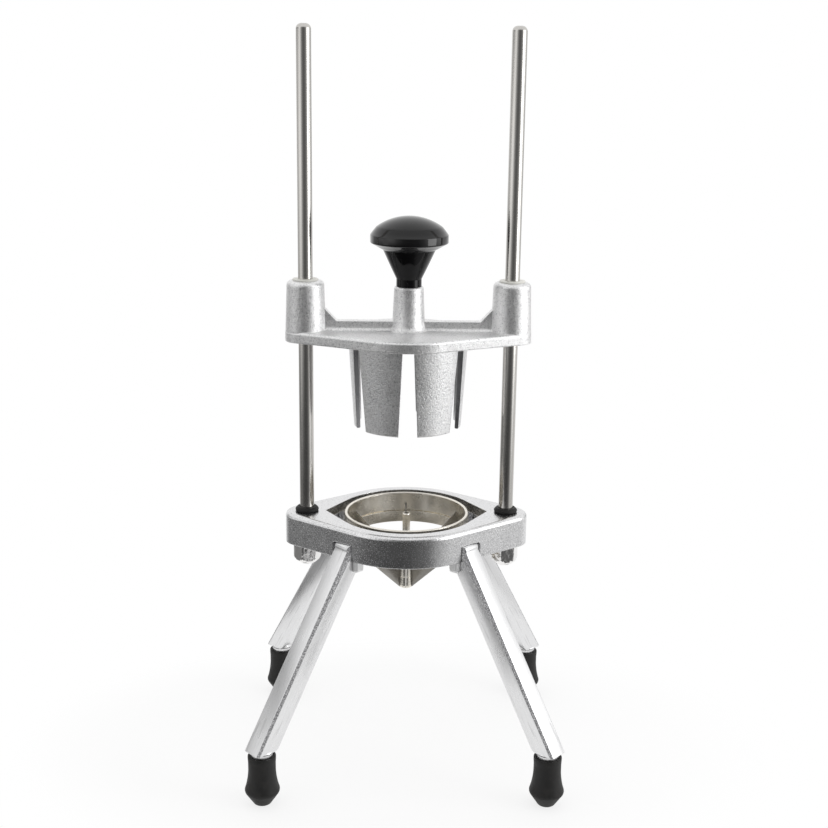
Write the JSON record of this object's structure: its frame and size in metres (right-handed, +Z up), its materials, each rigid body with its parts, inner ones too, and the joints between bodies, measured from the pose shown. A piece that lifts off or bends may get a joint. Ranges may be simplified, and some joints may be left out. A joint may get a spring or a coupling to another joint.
{
  "type": "fruit slicer press",
  "caption": "Free-standing hand press whose fingered head slides down twin rods and pushes fruit through a corer and blade ring on splayed legs.",
  "frame": {"origin": "on the table, under the middle of the base", "axes": "+X from the left rod to the right rod, -Y towards the user, +Z up along the rods"},
  "size_m": [0.216, 0.1946, 0.5111],
  "materials": {
    "cast_aluminium": "bead-blasted and tumbled casting, fine sparkle",
    "ground_aluminium": "ground and polished with fine diagonal scratches",
    "polished_steel": "polished bar",
    "stainless": "turned stainless, semi-bright",
    "blade_steel": "ground blade steel with a bright bevel",
    "zinc_steel": "zinc-plated screw",
    "chrome": "bright plated",
    "gloss_black": "moulded, glossy",
    "black_rubber": "moulded, matte",
    "nylon": "natural white nylon"
  },
  "bodies": {
    "frame": {"base_casting": "cast_aluminium", "blade_ring": "stainless", "retaining_ring": "stainless", "ring_screws": "zinc_steel", "leg_bolts": "zinc_steel", "corer_tube": "stainless", "blade_hub": "stainless", "hub_nozzle": "stainless", "blade_1": "blade_steel", "blade_2": "blade_steel", "blade_3": "blade_steel", "blade_4": "blade_steel", "blade_5": "blade_steel", "blade_6": "blade_steel", "leg_front_left": "ground_aluminium", "rubber_foot_front_left": "black_rubber", "leg_front_right": "ground_aluminium", "rubber_foot_front_right": "black_rubber", "leg_rear_left": "ground_aluminium", "rubber_foot_rear_left": "black_rubber", "leg_rear_right": "ground_aluminium", "rubber_foot_rear_right": "black_rubber", "guide_rod_left": "polished_steel", "rod_bumper_left": "black_rubber", "cap_nut_left": "chrome", "guide_rod_right": "polished_steel", "rod_bumper_right": "black_rubber", "cap_nut_right": "chrome"},
    "head": {"pusher_head": "cast_aluminium", "knob": "gloss_black", "knob_stud": "zinc_steel", "guide_bush_left_upper": "nylon", "guide_bush_left_lower": "nylon", "guide_bush_right_upper": "nylon", "guide_bush_right_lower": "nylon"}
  },
  "joints": [
    {"name": "head_slide", "type": "slide", "parent": "frame", "child": "head", "axis": [0, 0, 1], "range_m": [-0.1189, 0.16]}
  ]
}
